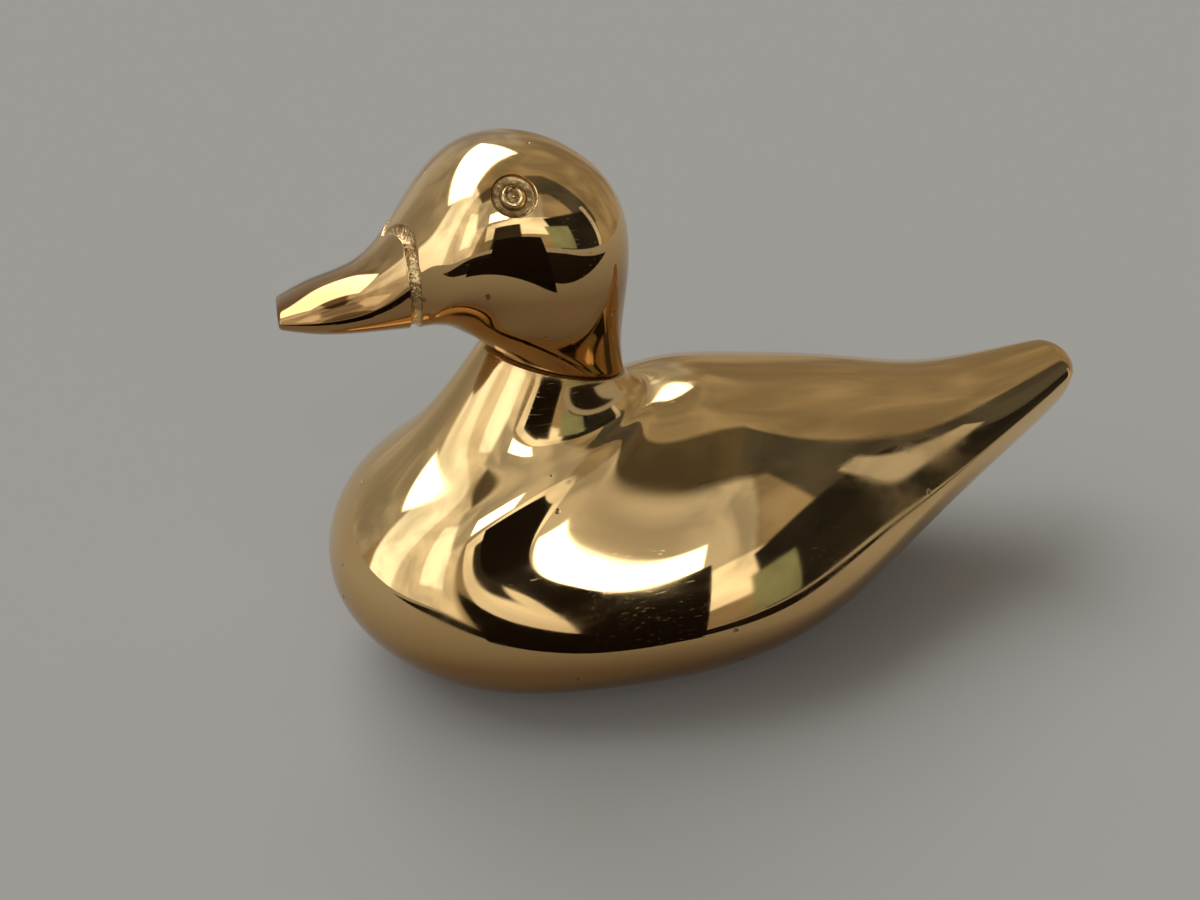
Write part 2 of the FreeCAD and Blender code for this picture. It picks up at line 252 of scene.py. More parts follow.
def noiseNode(tree, vector, scale, detail=3.0, rough=0.5, distortion=0.0):
    node = addNode(tree, "ShaderNodeTexNoise")
    node.inputs["Scale"].default_value = scale
    node.inputs["Detail"].default_value = detail
    node.inputs["Roughness"].default_value = rough
    node.inputs["Distortion"].default_value = distortion
    tree.links.new(vector, node.inputs["Vector"])
    return node.outputs["Fac"]


def makeBuffing():
    # cloudy streaks that the polishing wheel leaves along the duck
    group, given, put = newGroup("buffingStreaks", [("Vector", "NodeSocketVector", None)],
                                 [("Streaks", "NodeSocketFloat"), ("Clouds", "NodeSocketFloat")])
    lines = noiseNode(group, stretched(group, given.outputs[0], (1, 9, 7)), 55, 5, 0.65, 0.6)
    group.links.new(rangeNode(group, lines, 0.42, 0.72), put.inputs["Streaks"])
    clouds = noiseNode(group, stretched(group, given.outputs[0], (1, 2.2, 1.6)), 38, 3, 0.5)
    group.links.new(rangeNode(group, clouds, 0.4, 0.75), put.inputs["Clouds"])
    return group


def makePits():
    # sparse small blow holes that the casting keeps, thickest near the foot
    group, given, put = newGroup("castingPits", [("Vector", "NodeSocketVector", None),
                                                 ("Cells", "NodeSocketFloat", 330.0),
                                                 ("Rarity", "NodeSocketFloat", 0.93)],
                                 [("Mask", "NodeSocketFloat"), ("Height", "NodeSocketFloat")])
    cells = addNode(group, "ShaderNodeTexVoronoi", feature="F1")
    group.links.new(given.outputs["Vector"], cells.inputs["Vector"])
    group.links.new(given.outputs["Cells"], cells.inputs["Scale"])
    chosen = addNode(group, "ShaderNodeSeparateColor")
    group.links.new(cells.outputs["Color"], chosen.inputs[0])
    rare = mathNode(group, "GREATER_THAN", chosen.outputs[0], given.outputs["Rarity"])
    wide = mathNode(group, "MULTIPLY_ADD", chosen.outputs[1], 0.16, 0.07)
    near = mathNode(group, "DIVIDE", cells.outputs["Distance"], wide)
    hole = rangeNode(group, near, 1.0, 0.45)
    mask = mathNode(group, "MULTIPLY", hole, rare)
    group.links.new(mask, put.inputs["Mask"])
    group.links.new(mathNode(group, "MULTIPLY", mask, -1.0), put.inputs["Height"])
    return group


def makeScratches():
    # fine straight handling scratches, in patches and in three directions
    group, given, put = newGroup("handlingScratches", [("Vector", "NodeSocketVector", None)],
                                 [("Mask", "NodeSocketFloat")])
    total = None
    for number, turn in enumerate(((0.0, 0.3, 0.25), (0.2, -0.5, 0.8), (0.5, 0.2, -0.6))):
        line = noiseNode(group, stretched(group, given.outputs[0], (45, 4200, 4200), turn), 1.0, 0)
        thin = rangeNode(group, line, 0.735, 0.80)
        patch = noiseNode(group, given.outputs[0], 30 + 11 * number, 2)
        thin = mathNode(group, "MULTIPLY", thin, rangeNode(group, patch, 0.56, 0.68))
        total = thin if total is None else mathNode(group, "MAXIMUM", total, thin)
    group.links.new(total, put.inputs["Mask"])
    return group


def makeCastSkin():
    # the grainy skin of sand-cast brass where no wheel reaches
    group, given, put = newGroup("castSkin", [("Vector", "NodeSocketVector", None),
                                              ("Grain", "NodeSocketFloat", 1900.0)],
                                 [("Height", "NodeSocketFloat"), ("Tone", "NodeSocketFloat")])
    grains = addNode(group, "ShaderNodeTexVoronoi", feature="SMOOTH_F1")
    group.links.new(given.outputs["Vector"], grains.inputs["Vector"])
    group.links.new(given.outputs["Grain"], grains.inputs["Scale"])
    fine = noiseNode(group, given.outputs["Vector"], 900, 4, 0.6)
    group.links.new(mathNode(group, "ADD", grains.outputs["Distance"], fine), put.inputs["Height"])
    broad = noiseNode(group, given.outputs["Vector"], 260, 4, 0.6)
    group.links.new(rangeNode(group, broad, 0.35, 0.7), put.inputs["Tone"])
    return group


groups = {"buffing": makeBuffing(), "pits": makePits(), "scratches": makeScratches(), "skin": makeCastSkin()}


def useGroup(tree, key, vector, **values):
    node = addNode(tree, "ShaderNodeGroup")
    node.node_tree = groups[key]
    tree.links.new(vector, node.inputs["Vector"])
    for label, value in values.items():
        node.inputs[label].default_value = value
    return node


def mixColour(tree, factor, first, second):
    node = addNode(tree, "ShaderNodeMix", data_type="RGBA")
    for socket, value in ((node.inputs[0], factor), (node.inputs[6], first), (node.inputs[7], second)):
        if isinstance(value, (int, float)):
            socket.default_value = value
        elif isinstance(value, tuple):
            socket.default_value = (*value, 1)
        else:
            tree.links.new(value, socket)
    return node.outputs[2]


def newMetal(name):
    material = bpy.data.materials.new(name)
    material.use_nodes = True
    tree = material.node_tree
    shader = tree.nodes["Principled BSDF"]
    shader.inputs["Metallic"].default_value = 1.0
    return material, tree, shader, addNode(tree, "ShaderNodeTexCoord").outputs["Object"]


def pressIn(tree, shader, height, strength, depth):
    bump = addNode(tree, "ShaderNodeBump")
    bump.inputs["Strength"].default_value = strength
    bump.inputs["Distance"].default_value = depth
    tree.links.new(height, bump.inputs["Height"])
    tree.links.new(bump.outputs[0], shader.inputs["Normal"])


polish = {"brass": (0.88, 0.61, 0.28), "warm": (0.80, 0.51, 0.20), "warmShare": 0.5,
          # the low brown is painted shade: a darker brown towards the bottom that stands in for the reflection of
          # the shaded floor
          "paintedShadeBrown": (0.38, 0.21, 0.08), "paintedShadeShare": 1.0,
          "patina": (0.16, 0.085, 0.035), "pitShare": 0.8, "tarnishShare": 0.85,
          "roughness": 0.03, "haze": 0.10, "scratch": 0.16, "tarnishRough": 0.32, "pitRough": 0.4,
          "footPits": 0.20, "pitDepth": 0.0002}


def makePolishedBrass(name, pitRarity, streaky):
    material, tree, shader, place = newMetal(name)
    buff = useGroup(tree, "buffing", place)
    pits = useGroup(tree, "pits", place)
    foot = addNode(tree, "ShaderNodeAttribute", attribute_name="footShadeAndPits").outputs["Fac"]
    rarity = mathNode(tree, "MULTIPLY_ADD", foot, -polish["footPits"], pitRarity)
    tree.links.new(rarity, pits.inputs["Rarity"])
    scratch = useGroup(tree, "scratches", place)
    tarnish = addNode(tree, "ShaderNodeAttribute", attribute_name="tarnish").outputs["Fac"]
    back = addNode(tree, "ShaderNodeAttribute", attribute_name="handled").outputs["Fac"]
    streaks = mathNode(tree, "MULTIPLY", buff.outputs["Streaks"], back)
    hazy = mathNode(tree, "ADD", streaks, buff.outputs["Clouds"])
    rough = mathNode(tree, "MULTIPLY_ADD", hazy, polish["haze"] * streaky, polish["roughness"])
    rough = mathNode(tree, "ADD", rough, mathNode(tree, "MULTIPLY", scratch.outputs["Mask"], polish["scratch"]))
    rough = mathNode(tree, "ADD", rough, mathNode(tree, "MULTIPLY", tarnish, polish["tarnishRough"]))
    rough = mathNode(tree, "ADD", rough, mathNode(tree, "MULTIPLY", pits.outputs["Mask"], polish["pitRough"]),
                     clamp=True)
    tree.links.new(rough, shader.inputs["Roughness"])
    colour = polish["brass"]
    # the second mix paints shade: darker brown towards the foot, for the reflection of the shaded floor
    for mask, share, other in ((buff.outputs["Clouds"], polish["warmShare"], polish["warm"]),
                               (foot, polish["paintedShadeShare"], polish["paintedShadeBrown"]),
                               (pits.outputs["Mask"], polish["pitShare"], polish["patina"]),
                               (tarnish, polish["tarnishShare"], polish["patina"])):
        colour = mixColour(tree, mathNode(tree, "MULTIPLY", mask, share), colour, other)
    tree.links.new(colour, shader.inputs["Base Color"])
    pressIn(tree, shader, pits.outputs["Height"], 0.6, polish["pitDepth"])
    return material


def makeCastBrass(name, light, dark, roughness, grain, depth):
    material, tree, shader, place = newMetal(name)
    skin = useGroup(tree, "skin", place, Grain=grain)
    tree.links.new(mixColour(tree, skin.outputs["Tone"], dark, light), shader.inputs["Base Color"])
    rough = mathNode(tree, "MULTIPLY_ADD", skin.outputs["Tone"], -0.15, roughness)
    tree.links.new(rough, shader.inputs["Roughness"])
    pressIn(tree, shader, skin.outputs["Height"], 1.0, depth)
    return material


bodyBrass = makePolishedBrass("bodyPolishedBrass", 0.955, 1.0)
headBrass = makePolishedBrass("headPolishedBrass", 0.975, 0.6)
insideBrass = makeCastBrass("insideCastBrass", (0.62, 0.45, 0.22), (0.30, 0.20, 0.09), 0.62, 1400.0, 0.00018)
grooveBrass = makeCastBrass("grooveCastBrass", (0.84, 0.62, 0.30), (0.34, 0.20, 0.08), 0.42, 1900.0, 0.00024)
eyeBrass = makeCastBrass("eyeCastBrass", (0.62, 0.42, 0.19), (0.22, 0.125, 0.05), 0.45, 1300.0, 0.00010)
pupilBrass = makeCastBrass("pupilBrass", (0.86, 0.63, 0.30), (0.56, 0.36, 0.15), 0.24, 900.0, 0.00006)
rimBrass = makeCastBrass("filedRimBrass", (0.80, 0.58, 0.28), (0.58, 0.39, 0.17), 0.38, 2600.0, 0.00003)
brazeBrass = makeCastBrass("brazeAlloy", (0.60, 0.50, 0.28), (0.34, 0.26, 0.13), 0.5, 1600.0, 0.00010)
print("finishes made:", len(bpy.data.materials))

# the joint ring that both castings share
neckLook = {
    "row": (-23.80, 55.05, -49.60, 62.55, 10.90, 0.49, 0.55, 0.55, 0.55, 0.55),
    "keepClear": 15.0, "creaseRound": 0.28, "tarnish": 0.9, "tarnishWidth": 0.25, "tarnishFade": 0.35,
}
neckRing = ovalPoints(neckLook["row"], 96)
neckMiddle = neckRing.mean(axis=0)
neckUp = np.cross(neckRing[24] - neckMiddle, neckRing[0] - neckMiddle)  # from a quarter of the way round
neckUp /= np.linalg.norm(neckUp)
if neckUp[2] < 0:
    neckUp = -neckUp


def dropFrom(bm, face, inset, depth):
    # steps a flat end face in and then along the neck, with corners that stay crisp when subdivided
    crisp = bm.edges.layers.float.get("crease_edge") or bm.edges.layers.float.new("crease_edge")
    bmesh.ops.inset_region(bm, faces=[face], thickness=inset * mm, use_even_offset=True)
    for edge in face.edges:
        edge[crisp] = 1
    grown = bmesh.ops.extrude_face_region(bm, geom=[face])["geom"]
    bmesh.ops.translate(bm, verts=[v for v in grown if isinstance(v, bmesh.types.BMVert)],
                        vec=Vector(-neckUp) * depth * mm)
    for edge in grown:
        if isinstance(edge, bmesh.types.BMEdge):
            edge[crisp] = 1
    if face.is_valid:
        bmesh.ops.delete(bm, geom=[face], context="FACES_ONLY")


def softenLoop(bm, loop, radius):
    edges = [bm.edges.get((a, b)) for a, b in zip(loop, loop[1:] + loop[:1])]
    bmesh.ops.bevel(bm, geom=edges, offset=radius * mm, offset_type="OFFSET", affect="EDGES",
                    segments=3, profile=0.5, material=-1, clamp_overlap=True)


bodyLook = {
    "around": 96, "steps": 96, "tailRound": 3.4, "tailRings": (0.75, 0.5, 0.25), "endGap": 0.006,
    "waveHeight": 0.07, "waveLength": 17.0, "waveSeed": 4, "coreAround": 48, "openingSides": 72,
    "collarWall": 3.2, "collarDepth": 15.0, "openingMiddle": -25.7,
    "openingHalfLength": 30.0, "openingHalfWidth": 18.0, "openingTop": 5.6,
    # the foot ramp roughens the foot and also carries the painted shade of the low brown
    "backWear": (34, 8), "rearWear": (-22, 10), "footWearAndShade": (27, -12), "leastWear": 0.2, "footShare": 0.4,
    "rows": [
        neckLook["row"],
        (-19.98, 50.95, -63.32, 45.62, 14.81, 0.41, 0.57, 0.46, 0.58, 0.53),
        (-17.36, 51.01, -76.66, 32.78, 20.72, 0.35, 0.60, 0.33, 0.64, 0.52),
        (-14.85, 51.75, -80.60, 18.07, 26.08, 0.31, 0.62, 0.21, 0.67, 0.50),
        (-10.55, 52.55, -70.46, 4.37, 32.50, 0.33, 0.63, 0.16, 0.71, 0.50),
        (-3.87, 52.34, -45.47, -2.03, 38.30, 0.38, 0.63, 0.15, 0.73, 0.50),
        (9.63, 50.63, -4.10, -2.29, 37.90, 0.41, 0.63, 0.15, 0.73, 0.50),
        (28.73, 48.18, 27.78, 5.86, 27.66, 0.46, 0.63, 0.16, 0.71, 0.50),
        (53.21, 44.61, 56.31, 18.50, 16.86, 0.59, 0.62, 0.20, 0.69, 0.50),
        (71.95, 45.94, 75.18, 28.78, 10.40, 0.65, 0.61, 0.27, 0.67, 0.51),
        (82.70, 47.54, 82.70, 33.47, 6.93, 0.69, 0.60, 0.31, 0.65, 0.52),
    ],
    "coreRows": [
        (-71.25, 33.58, -71.25, 9.06, 18.08, 0.412, 0.58, 0.50, 0.60, 0.55),
        (-63.28, 40.51, -63.28, 4.80, 24.18, 0.335, 0.52, 0.38, 0.66, 0.53),
        (-47.78, 46.37, -47.78, 3.73, 31.08, 0.281, 0.38, 0.28, 0.72, 0.50),
        (-27.15, 47.97, -27.15, 3.73, 34.82, 0.305, 0.45, 0.20, 0.75, 0.50),
        (-3.27, 47.70, -3.27, 3.73, 34.43, 0.351, 0.60, 0.17, 0.73, 0.50),
        (17.03, 45.84, 17.03, 6.40, 28.91, 0.395, 0.62, 0.16, 0.72, 0.50),
        (34.94, 43.17, 34.94, 12.79, 20.64, 0.452, 0.62, 0.18, 0.71, 0.50),
        (54.04, 41.04, 54.04, 21.59, 12.76, 0.566, 0.61, 0.22, 0.69, 0.50),
        (65.98, 41.31, 65.98, 27.72, 9.01, 0.647, 0.60, 0.28, 0.67, 0.51),
    ],
}


def polishSurface(mesh, look, keepClear):
    # adds the slow polishing wave to the outside only, fading towards the joint and the eyes
    count = len(mesh.vertices)
    points, normals = np.zeros(count * 3), np.zeros(count * 3)
    mesh.vertices.foreach_get("co", points)
    mesh.vertices.foreach_get("normal", normals)
    points, normals = points.reshape(-1, 3), normals.reshape(-1, 3)
    fade = np.ones(count)
    for middle, radius in keepClear:
        away = np.linalg.norm(points - np.array(middle) * mm, axis=1)
        fade *= np.clip((away - radius * mm) / (4 * mm), 0, 1)
    waved = handWave(points, normals, look["waveHeight"] * mm, look["waveLength"] * mm, look["waveSeed"])
    points = points + (waved - points) * fade[:, None]
    mesh.vertices.foreach_set("co", points.ravel())


def creaseTarnish(points):
    # dark in the crease round the neck, gone within a millimetre or two of it
    nearest = np.full(len(points), 1e9)
    for spot in neckRing:
        nearest = np.minimum(nearest, np.linalg.norm(points - spot, axis=1))
    return np.exp(-np.maximum(nearest - neckLook["tarnishWidth"], 0) / neckLook["tarnishFade"]) * neckLook["tarnish"]


def ramp(values, start, length):
    # 0 at the start, 1 a length further on; a negative length runs the other way
    return np.clip((values - start) / length, 0, 1)


def paint(mesh, name, values):
    layer = mesh.attributes.new(name, "FLOAT", "POINT")
    layer.data.foreach_set("value", np.asarray(values, np.float32))


def meshPoints(mesh):
    points = np.zeros(len(mesh.vertices) * 3)
    mesh.vertices.foreach_get("co", points)
    return points.reshape(-1, 3) / mm


def finishPiece(name, mesh, node):
    piece = bpy.data.objects.new(name, mesh)
    scene.collection.objects.link(piece)
    mesh.shade_smooth()
    mesh.set_sharp_from_angle(angle=math.radians(24))
    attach(piece, "root")
    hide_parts(node)
    print(name, "faces", len(mesh.polygons))


def buildBody(look):
    loft = makeLoft(look["rows"], look["around"])
    first, tail = endRings(loft, look["tailRound"], look["tailRings"])
    gap = look["endGap"]
    places = np.concatenate([[0, gap], np.linspace(gap + 0.01, first - gap, look["steps"])])
    bm = bmesh.new()
    loops = skinRings(bm, [loftRing(loft, p) for p in places] + tail)
    bm.faces.new(loops[-1])
    collar = bm.faces.new(loops[0])
    bmesh.ops.recalc_face_normals(bm, faces=bm.faces)
    dropFrom(bm, collar, look["collarWall"], look["collarDepth"])
    softenLoop(bm, loops[0], neckLook["creaseRound"])
    smooth = smoothedMesh("bodyOutside", bm, 1)
    polishSurface(smooth, look, [(neckMiddle, neckLook["keepClear"])])
    bm = bmesh.new()
    bm.from_mesh(smooth)
    below = bmesh.ops.bisect_plane(bm, geom=bm.verts[:] + bm.edges[:] + bm.faces[:], plane_co=(0, 0, 0),
                                   plane_no=(0, 0, 1), clear_inner=True)["geom_cut"]
    bmesh.ops.edgeloop_fill(bm, edges=[e for e in below if isinstance(e, bmesh.types.BMEdge)])
    bmesh.ops.recalc_face_normals(bm, faces=bm.faces)
    core = bmesh.new()
    coreLoft = makeLoft(look["coreRows"], look["coreAround"])
    coreLoops = skinRings(core, [loftRing(coreLoft, p) for p in np.linspace(0, 1, look["coreAround"])])
    core.faces.new(coreLoops[0])
    core.faces.new(coreLoops[-1])
    coreCutter = cutterObject("coreCutter", core, (bodyBrass, insideBrass))
    door = bmesh.new()
    oval = Matrix.Diagonal((look["openingHalfLength"] * mm, look["openingHalfWidth"] * mm, 1, 1))
    bmesh.ops.create_circle(door, segments=look["openingSides"], radius=1, cap_ends=True, matrix=oval)
    bmesh.ops.translate(door, verts=door.verts, vec=(look["openingMiddle"] * mm, 0, -2 * mm))
    grown = bmesh.ops.extrude_face_region(door, geom=door.faces[:])["geom"]
    bmesh.ops.translate(door, verts=[v for v in grown if isinstance(v, bmesh.types.BMVert)],
                        vec=(0, 0, (look["openingTop"] + 2) * mm))
    doorCutter = cutterObject("openingCutter", door, (bodyBrass, insideBrass))
    for cutter in (coreCutter, doorCutter):
        cutter.data.polygons.foreach_set("material_index", [1] * len(cutter.data.polygons))  # the cast inside
    solid = bpy.data.meshes.new("bodySolid")
    bm.to_mesh(solid)
    bm.free()
    solid.materials.append(bodyBrass)
    solid.materials.append(insideBrass)
    whole = bpy.data.objects.new("bodyWhole", solid)
    scene.collection.objects.link(whole)
    result = cutAway(whole, [coreCutter, doorCutter])
    result.materials.append(rimBrass)
    for face in result.polygons:
        if face.normal.z < -0.995 and face.center.z < 0.05 * mm:
            face.material_index = 2  # the filed rim
    points = meshPoints(result)
    paint(result, "tarnish", creaseTarnish(points))
    upper = ramp(points[:, 2], *look["backWear"]) * ramp(points[:, 0], *look["rearWear"])
    # the foot ramp also sets the painted shade, a darker brown towards the bottom
    foot = ramp(points[:, 2], *look["footWearAndShade"])
    paint(result, "handled", np.clip(look["leastWear"] + upper + foot * look["footShare"], 0, 1))
    paint(result, "footShadeAndPits", foot)
    finishPiece("duckBody", result, "body_casting")


buildBody(bodyLook)

headLook = {
    "around": 96, "steps": 84, "billRound": 0.55,
    "billRings": (0.8, 0.5, 0.25), "backShare": 0.72, "seatGap": 0.022,
    "waveHeight": 0.05, "waveLength": 13.0, "waveSeed": 9, "eyeClear": 5.0,
    "spigotInset": 3.6, "spigotDepth": 7.0,
    # the cheek ramp is painted shade: the head turns darker brown below the crown, for the reflection of the breast
    # and floor
    "crownWear": (88, 8), "cheekShade": (85, -10), "leastWear": 0.2, "shadeShare": 0.95,
    "grooveRow": 6, "grooveHalf": 0.78, "grooveDepth": 0.6, "veeReach": 2.9, "veeHalf": 7.4,
    "veePower": 1.15, "veeShallow": 0.45, "veeNarrow": 0.4,
    # across the groove in half widths, down it in depths
    "grooveProfile": [(-1.5, 0), (-1.12, 0), (-1.0, -0.05), (-0.86, -0.6), (-0.5, -0.95), (0, -1),
                      (0.5, -0.95), (0.86, -0.6), (1.0, -0.05), (1.12, 0), (1.5, 0)],
    "eyeSpot": (-46.96, -14.0, 91.1), "eyeRadius": 3.3, "eyeRim": 0.6, "eyeSides": 72,
    # from the point in the middle of the eye out over the button: radius and height
    "eyeProfile": [(0.0, -0.24), (0.22, -0.30), (0.42, -0.60), (0.86, -0.66), (1.06, -0.42), (1.28, -0.32),
                   (1.55, -0.36), (1.80, -0.56), (1.98, -0.90), (2.12, -1.08), (2.7, -1.14), (3.0, -1.10)],
    "pupilPoint": 0.3, "pupilRing": (0.95, 1.85),
    "rows": [
        neckLook["row"],
        (-24.79, 62.40, -52.43, 65.07, 13.74, 0.50, 0.56, 0.56, 0.55, 0.55),
        (-24.47, 74.78, -54.78, 66.54, 16.48, 0.50, 0.59, 0.58, 0.55, 0.55),
        (-26.52, 87.32, -56.99, 67.51, 17.50, 0.52, 0.61, 0.60, 0.55, 0.55),
        (-37.39, 96.18, -58.96, 67.82, 17.36, 0.52, 0.61, 0.60, 0.55, 0.55),
        (-51.79, 96.18, -60.62, 67.70, 15.58, 0.50, 0.60, 0.58, 0.55, 0.55),
        (-62.00, 86.47, -62.00, 67.39, 11.46, 0.46, 0.57, 0.56, 0.55, 0.55),
        (-69.31, 78.54, -69.82, 67.47, 8.96, 0.43, 0.55, 0.55, 0.55, 0.55),
        (-77.64, 75.40, -77.96, 68.20, 7.58, 0.43, 0.55, 0.55, 0.55, 0.55),
        (-82.70, 73.04, -82.70, 69.17, 5.42, 0.48, 0.55, 0.55, 0.55, 0.55),
    ],
}


def placeAtX(loft, x, start):
    # for every point of the ring, the place along the loft where it reaches x
    low, high = np.full(loft["around"], start), np.ones(loft["around"])
    for _ in range(30):
        middle = (low + high) / 2
        beyond = loftRing(loft, middle)[:, 0] > x
        low, high = np.where(beyond, middle, low), np.where(beyond, high, middle)
    return (low + high) / 2


def surfaceNormal(loft, place):
    # outward direction of the surface for every point of a ring
    here = loftRing(loft, place)
    along = loftRing(loft, np.clip(place + 0.002, 0, 1)) - loftRing(loft, np.clip(place - 0.002, 0, 1))
    around = np.roll(here, -1, axis=0) - np.roll(here, 1, axis=0)
    normal = np.cross(along, around)
    normal /= np.linalg.norm(normal, axis=1, keepdims=True)
    outward = ((here - here.mean(axis=0)) * normal).sum(axis=1)
    return normal * (1 if outward.mean() > 0 else -1)


def buildHead(look):
    loft = makeLoft(look["rows"], look["around"])
    grooveX = look["rows"][look["grooveRow"]][0]
    start = loft["knots"][look["grooveRow"] - 1]
    still = loftRing(loft, loft["knots"][look["grooveRow"]])
    side = np.abs(still[:, 1])
    upper = still[:, 2] > still[:, 2].mean()
    vee = np.where(upper, np.clip(1 - side / look["veeHalf"], 0, 1), 0) ** look["veePower"] * look["veeReach"]
    shallow = 1 - look["veeShallow"] * np.clip(vee / look["veeReach"], 0, 1)
    rings, floorRows = [], set()
    half = look["grooveHalf"] * (1 - look["veeNarrow"] * vee / look["veeReach"])
    before = placeAtX(loft, grooveX - vee + half * 2.2, start)
    after = placeAtX(loft, grooveX - vee - half * 2.2, start)
    backSteps = int(look["steps"] * look["backShare"])
    gap = look["seatGap"]
    for place in np.concatenate([[0, 0.008], np.linspace(gap, 1, backSteps)]):
        if place <= gap:
            rings.append(loftRing(loft, place))
        else:
            rings.append(loftRing(loft, gap + (before - gap) * (place - gap) / (1 - gap)))
    for shift, depth in look["grooveProfile"]:
        place = placeAtX(loft, grooveX - vee - shift * half, start)
        ring = loftRing(loft, place)
        if depth:
            ring = ring + surfaceNormal(loft, place) * (depth * look["grooveDepth"] * shallow)[:, None]
        if depth <= -0.05:
            floorRows.add(len(rings))
        rings.append(ring)
    first, tip = endRings(loft, look["billRound"], look["billRings"], steps=4)
    for share in np.linspace(0, 1, look["steps"] - backSteps):
        rings.append(loftRing(loft, after + (first - 0.004 - after) * share))
    rings += tip
    bm = bmesh.new()
    loops = skinRings(bm, rings)
    bm.faces.new(loops[-1])
    seat = bm.faces.new(loops[0])
    rowOf = {vert: number for number, loop in enumerate(loops) for vert in loop}
    for face in bm.faces:
        if all(rowOf.get(v, -1) in floorRows for v in face.verts):
            face.material_index = 1
    bmesh.ops.recalc_face_normals(bm, faces=bm.faces)
    dropFrom(bm, seat, look["spigotInset"], look["spigotDepth"])
    softenLoop(bm, loops[0], neckLook["creaseRound"])
    smooth = smoothedMesh("headOutside", bm, 1)
    spot = np.array(look["eyeSpot"])
    polishSurface(smooth, look, [(neckMiddle, neckLook["keepClear"]), (spot, look["eyeClear"]),
                                 (spot * (1, -1, 1), look["eyeClear"])])
    return smooth


def eyeCutter(name, spot, outward, look):
    # everything the eye takes away: a turned profile of recess, button and pupil
    r, rim = look["eyeRadius"], look["eyeRim"]
    profile = look["eyeProfile"] + [(r - 0.08, -1.0), (r, -0.86), (r + 0.02, -0.74)]
    for step in range(1, 6):  # the rounded lip, then clear of the skin
        angle = math.radians(14 * step)
        profile.append((r + 0.02 + rim * (1 - math.cos(angle)), -0.74 + rim * math.sin(angle)))
    profile += [(r + rim + 0.35, -0.20), (r + rim + 0.8, 0.0), (r + rim + 0.8, 1.5), (0.0, 1.5)]
    bm = bmesh.new()
    verts = [bm.verts.new((radius * mm, 0, height * mm)) for radius, height in profile]
    edges = [bm.edges.new(pair) for pair in zip(verts, verts[1:])]
    bmesh.ops.spin(bm, geom=verts + edges, cent=(0, 0, 0), axis=(0, 0, 1), angle=math.radians(360),
                   steps=look["eyeSides"], use_merge=True)
    bmesh.ops.remove_doubles(bm, verts=bm.verts, dist=0.000002)
    for face in bm.faces:
        middle = face.calc_center_median()
        radius = math.hypot(middle.x, middle.y) / mm
        if look["pupilRing"][0] < radius < look["pupilRing"][1] or radius < look["pupilPoint"]:
            face.material_index = 3  # crater and point
        elif radius < r + 0.01:
            face.material_index = 2  # button and trench
        else:
            face.material_index = 0  # polished lip
    turn = Vector(outward).to_track_quat("Z", "Y").to_matrix().to_4x4()
    bmesh.ops.transform(bm, verts=bm.verts, matrix=Matrix.Translation(Vector(spot) * mm) @ turn)
    return cutterObject(name, bm, (headBrass, grooveBrass, eyeBrass, pupilBrass))


def finishHead(look):
    smooth = buildHead(look)
    for material in (headBrass, grooveBrass, eyeBrass, pupilBrass):
        smooth.materials.append(material)
    whole = bpy.data.objects.new("headWhole", smooth)
    scene.collection.objects.link(whole)
    bpy.context.view_layer.update()
    cutters = []
    for name, flip in (("leftEye", 1), ("rightEye", -1)):
        near = Vector((look["eyeSpot"][0], look["eyeSpot"][1] * flip, look["eyeSpot"][2])) * mm
        _, spot, outward, _ = whole.closest_point_on_mesh(near)
        cutters.append(eyeCutter(name, np.array(spot) / mm, outward, look))
    result = cutAway(whole, cutters)
    points = meshPoints(result)
    paint(result, "tarnish", creaseTarnish(points))
    paint(result, "handled", np.maximum(ramp(points[:, 2], *look["crownWear"]), look["leastWear"]))
    # painted shade on the cheeks: darker brown towards the neck, from a height ramp
    paint(result, "footShadeAndPits", ramp(points[:, 2], *look["cheekShade"]) * look["shadeShare"])
    finishPiece("duckHead", result, "head_casting")


finishHead(headLook)

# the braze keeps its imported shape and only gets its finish
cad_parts["neck_braze"].data.materials.clear()
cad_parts["neck_braze"].data.materials.append(brazeBrass)
print("castings built")

stageLook = {"floorColour": (0.335, 0.318, 0.292), "floorSize": 60.0}


def stagePiece(name, bm, finish, colour, roughness):
    mesh = bpy.data.meshes.new(name)
    bm.to_mesh(mesh)
    bm.free()
    piece = bpy.data.objects.new(name, mesh)
    scene.collection.objects.link(piece)
    material = bpy.data.materials.new(finish)
    material.use_nodes = True
    shader = material.node_tree.nodes["Principled BSDF"]
    shader.inputs["Base Color"].default_value = (*colour, 1)
    shader.inputs["Roughness"].default_value = roughness
    shader.inputs["Specular IOR Level"].default_value = 0.0
    mesh.materials.append(material)
    return piece


def makeFloor(look):
    bm = bmesh.new()
    bmesh.ops.create_grid(bm, x_segments=2, y_segments=2, size=look["floorSize"] / 2)
    stagePiece("floor", bm, "palePaper", look["floorColour"], 0.9)


makeFloor(stageLook)

# three black cards on the lens side, which only show in the polish: width, height, middle and tilt in degrees
cardLook = {"colour": (0.014, 0.010, 0.008),
            "standing": (0.070, 0.108, (-0.031, -0.152, 0.054), 90),
            "side": (0.050, 0.060, (-0.088, -0.153, 0.030), 90),
            "lying": (1.30, 1.00, (0.0, -0.685, 0.0005), 0)}


def makeCard(look, key):
    wide, high, middle, tilt = look[key]
    bm = bmesh.new()
    bmesh.ops.create_grid(bm, x_segments=1, y_segments=1, size=0.5)
    bmesh.ops.scale(bm, verts=bm.verts, vec=(wide, high, 1))
    bmesh.ops.rotate(bm, verts=bm.verts, matrix=Matrix.Rotation(math.radians(tilt), 3, "X"))
    bmesh.ops.translate(bm, verts=bm.verts, vec=middle)
    card = stagePiece(key + "Card", bm, key + "Cloth", look["colour"], 1.0)
    card.visible_camera = card.visible_shadow = card.visible_diffuse = False


for key in ("standing", "side", "lying"):
    makeCard(cardLook, key)

